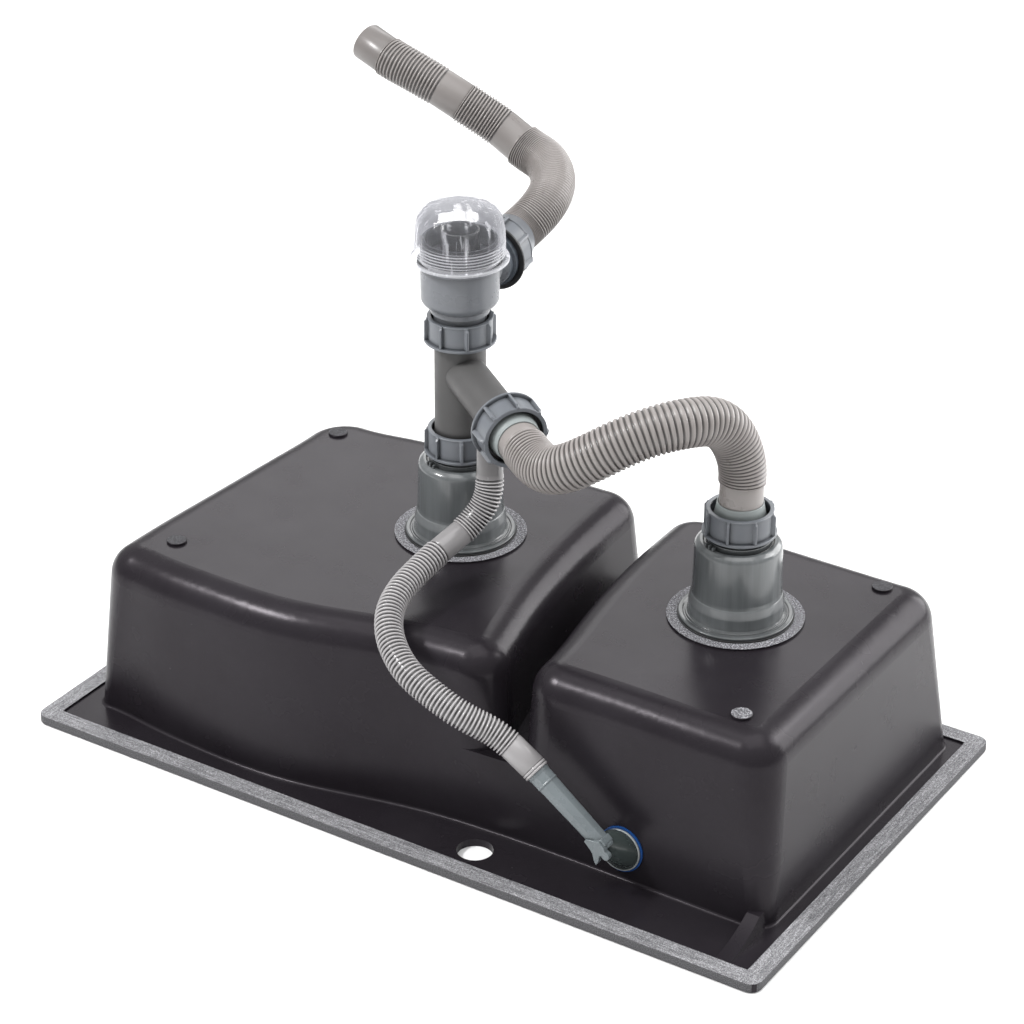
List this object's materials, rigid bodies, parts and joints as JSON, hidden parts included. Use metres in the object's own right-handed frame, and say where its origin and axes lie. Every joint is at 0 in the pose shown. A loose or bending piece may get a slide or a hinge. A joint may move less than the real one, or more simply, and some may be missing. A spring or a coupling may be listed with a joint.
{
  "type": "double bowl kitchen sink",
  "caption": "Black composite double bowl sink lying face down, with strainer cups, branch pipe, bottle trap with clear cup and corrugated hoses.",
  "frame": {"origin": "centre of the rim rectangle in the plane of the rim's top face, on which the sink lies", "axes": "+X along the sink towards the small bowl, +Z from the rim's top face towards the waste fittings, -Y the tap-ledge side; turned over in use"},
  "size_m": [0.82, 0.4993, 0.6174],
  "materials": {
    "sink_composite": "matte black moulded stone composite",
    "stainless": "brushed",
    "cup_grey": "satin dark grey with flow lines",
    "nut_grey": "satin blue-grey",
    "pipe_grey": "matte warm dark grey",
    "trap_grey": "satin grey",
    "sleeve_grey": "satin green-grey",
    "hose_beige": "satin warm grey, corrugated",
    "hose_grey": "satin light grey, corrugated",
    "elbow_grey": "satin green-grey",
    "clear_plastic": "clear",
    "rubber_black": "matte black",
    "rubber_blue": "matte blue"
  },
  "bodies": {
    "sink": {"sink_body": "sink_composite", "large_strainer_flange": "stainless", "large_flange_gasket": "rubber_black", "large_cup_gasket": "rubber_black", "large_strainer_cup": "cup_grey", "large_centre_screw": "stainless", "small_strainer_flange": "stainless", "small_flange_gasket": "rubber_black", "small_cup_gasket": "rubber_black", "small_strainer_cup": "cup_grey", "small_centre_screw": "stainless", "lower_cone_seal": "rubber_black", "upper_cone_seal": "rubber_black", "tee_pipe": "pipe_grey", "branch_sleeve": "sleeve_grey", "small_outlet_sleeve": "sleeve_grey", "trap_body": "trap_grey", "trap_standpipe": "pipe_grey", "trap_cup_seal": "rubber_black", "trap_outlet_seal": "rubber_black", "overflow_gasket": "rubber_blue", "overflow_elbow": "elbow_grey", "overflow_rosette": "stainless", "connecting_hose": "hose_beige", "outlet_hose": "hose_beige", "overflow_hose": "hose_grey"},
    "lower_tee_nut": {"lower_tee_nut": "nut_grey"},
    "upper_tee_nut": {"upper_tee_nut": "nut_grey"},
    "branch_nut": {"branch_nut": "nut_grey"},
    "small_outlet_nut": {"small_outlet_nut": "nut_grey"},
    "trap_outlet_nut": {"trap_outlet_nut": "nut_grey"},
    "trap_cup": {"trap_cup": "clear_plastic"},
    "large_basket": {"large_basket": "stainless", "large_basket_seal": "rubber_black", "large_basket_knob": "rubber_black"},
    "small_basket": {"small_basket": "stainless", "small_basket_seal": "rubber_black", "small_basket_knob": "rubber_black"}
  },
  "joints": [
    {"name": "lower_tee_nut_turn", "type": "hinge", "parent": "sink", "child": "lower_tee_nut", "pos_m": [-0.083, 0.0363, 0.293], "axis": [0, 0, 1], "continuous": true},
    {"name": "upper_tee_nut_turn", "type": "hinge", "parent": "sink", "child": "upper_tee_nut", "pos_m": [-0.083, 0.0363, 0.413], "axis": [0, 0, 1], "continuous": true},
    {"name": "branch_nut_turn", "type": "hinge", "parent": "sink", "child": "branch_nut", "pos_m": [0.01971, -0.03429, 0.36031], "axis": [0.8217, -0.5647, -0.0767], "continuous": true},
    {"name": "small_outlet_nut_turn", "type": "hinge", "parent": "sink", "child": "small_outlet_nut", "pos_m": [0.224, 0.042, 0.293], "axis": [0, 0, 1], "continuous": true},
    {"name": "trap_outlet_nut_turn", "type": "hinge", "parent": "sink", "child": "trap_outlet_nut", "pos_m": [-0.09103, 0.11272, 0.46097], "axis": [-0.1043, 0.9924, 0.0645], "continuous": true},
    {"name": "trap_cup_lift", "type": "slide", "parent": "sink", "child": "trap_cup", "axis": [0, 0, 1], "range_m": [0, 0.06]},
    {"name": "large_basket_lift", "type": "slide", "parent": "sink", "child": "large_basket", "axis": [0, 0, -1], "range_m": [0, 0.12]},
    {"name": "small_basket_lift", "type": "slide", "parent": "sink", "child": "small_basket", "axis": [0, 0, -1], "range_m": [0, 0.12]}
  ]
}
